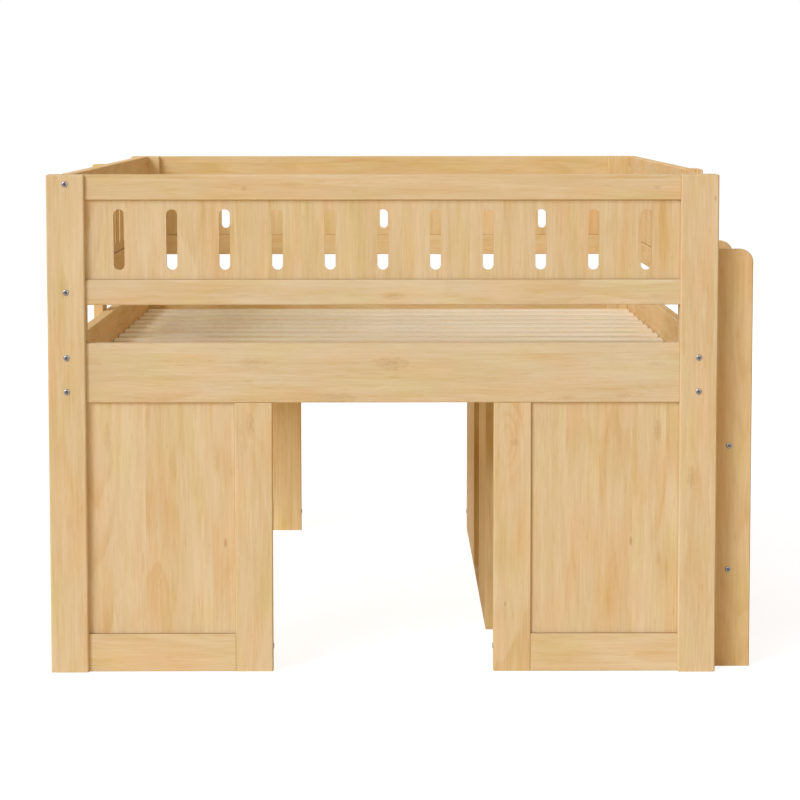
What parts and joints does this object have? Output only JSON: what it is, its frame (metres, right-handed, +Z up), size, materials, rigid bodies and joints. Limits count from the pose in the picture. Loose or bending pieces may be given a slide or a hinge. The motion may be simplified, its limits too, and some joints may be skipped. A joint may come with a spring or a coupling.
{
  "type": "loft bed",
  "caption": "Low loft bed in solid pine with slotted guard panels, slatted base, side ladder and an open shelf unit below.",
  "frame": {"origin": "on the floor under the middle of the bounding box", "axes": "+Z up, +Y from the front end to the rear end along the mattress, +X to the ladder side"},
  "size_m": [1.5594, 2.03, 1.105],
  "materials": {
    "lacquered_pine": "clear matt lacquer",
    "slat_pine": "planed, unfinished",
    "plywood": "sanded, unfinished"
  },
  "bodies": {
    "root": {"centre_beam": "slat_pine", "front_bed_rail": "lacquered_pine", "front_guard_bottom_rail": "lacquered_pine", "front_guard_panel": "lacquered_pine", "front_guard_top_rail": "lacquered_pine", "front_left_bottom_rail": "lacquered_pine", "front_left_panel": "lacquered_pine", "front_left_post": "lacquered_pine", "front_left_stile": "lacquered_pine", "front_right_bottom_rail": "lacquered_pine", "front_right_cleat": "lacquered_pine", "front_right_panel": "lacquered_pine", "front_right_post": "lacquered_pine", "front_right_stile": "lacquered_pine", "ladder_front_stringer": "lacquered_pine", "ladder_rear_stringer": "lacquered_pine", "ladder_tread_1": "lacquered_pine", "ladder_tread_2": "lacquered_pine", "left_bed_rail": "lacquered_pine", "left_guard_bottom_rail": "lacquered_pine", "left_guard_panel": "lacquered_pine", "left_guard_top_rail": "lacquered_pine", "left_ledger": "slat_pine", "left_mid_board": "lacquered_pine", "rear_bed_rail": "lacquered_pine", "rear_guard_bottom_rail": "lacquered_pine", "rear_guard_panel": "lacquered_pine", "rear_guard_top_rail": "lacquered_pine", "rear_left_bottom_rail": "lacquered_pine", "rear_left_panel": "lacquered_pine", "rear_left_post": "lacquered_pine", "rear_left_stile": "lacquered_pine", "rear_right_bottom_rail": "lacquered_pine", "rear_right_cleat": "lacquered_pine", "rear_right_panel": "lacquered_pine", "rear_right_post": "lacquered_pine", "rear_right_stile": "lacquered_pine", "right_bed_rail": "lacquered_pine", "right_entry_board": "lacquered_pine", "right_guard_bottom_rail": "lacquered_pine", "right_guard_panel": "lacquered_pine", "right_guard_top_rail": "lacquered_pine", "right_ledger": "slat_pine", "slats": "slat_pine", "unit_bottom": "plywood", "unit_far_back": "lacquered_pine", "unit_far_divider": "lacquered_pine", "unit_far_end": "lacquered_pine", "unit_far_shelf": "lacquered_pine", "unit_near_back": "lacquered_pine", "unit_near_divider": "lacquered_pine", "unit_near_end": "lacquered_pine", "unit_near_shelf": "lacquered_pine", "unit_top": "lacquered_pine"}
  },
  "joints": []
}
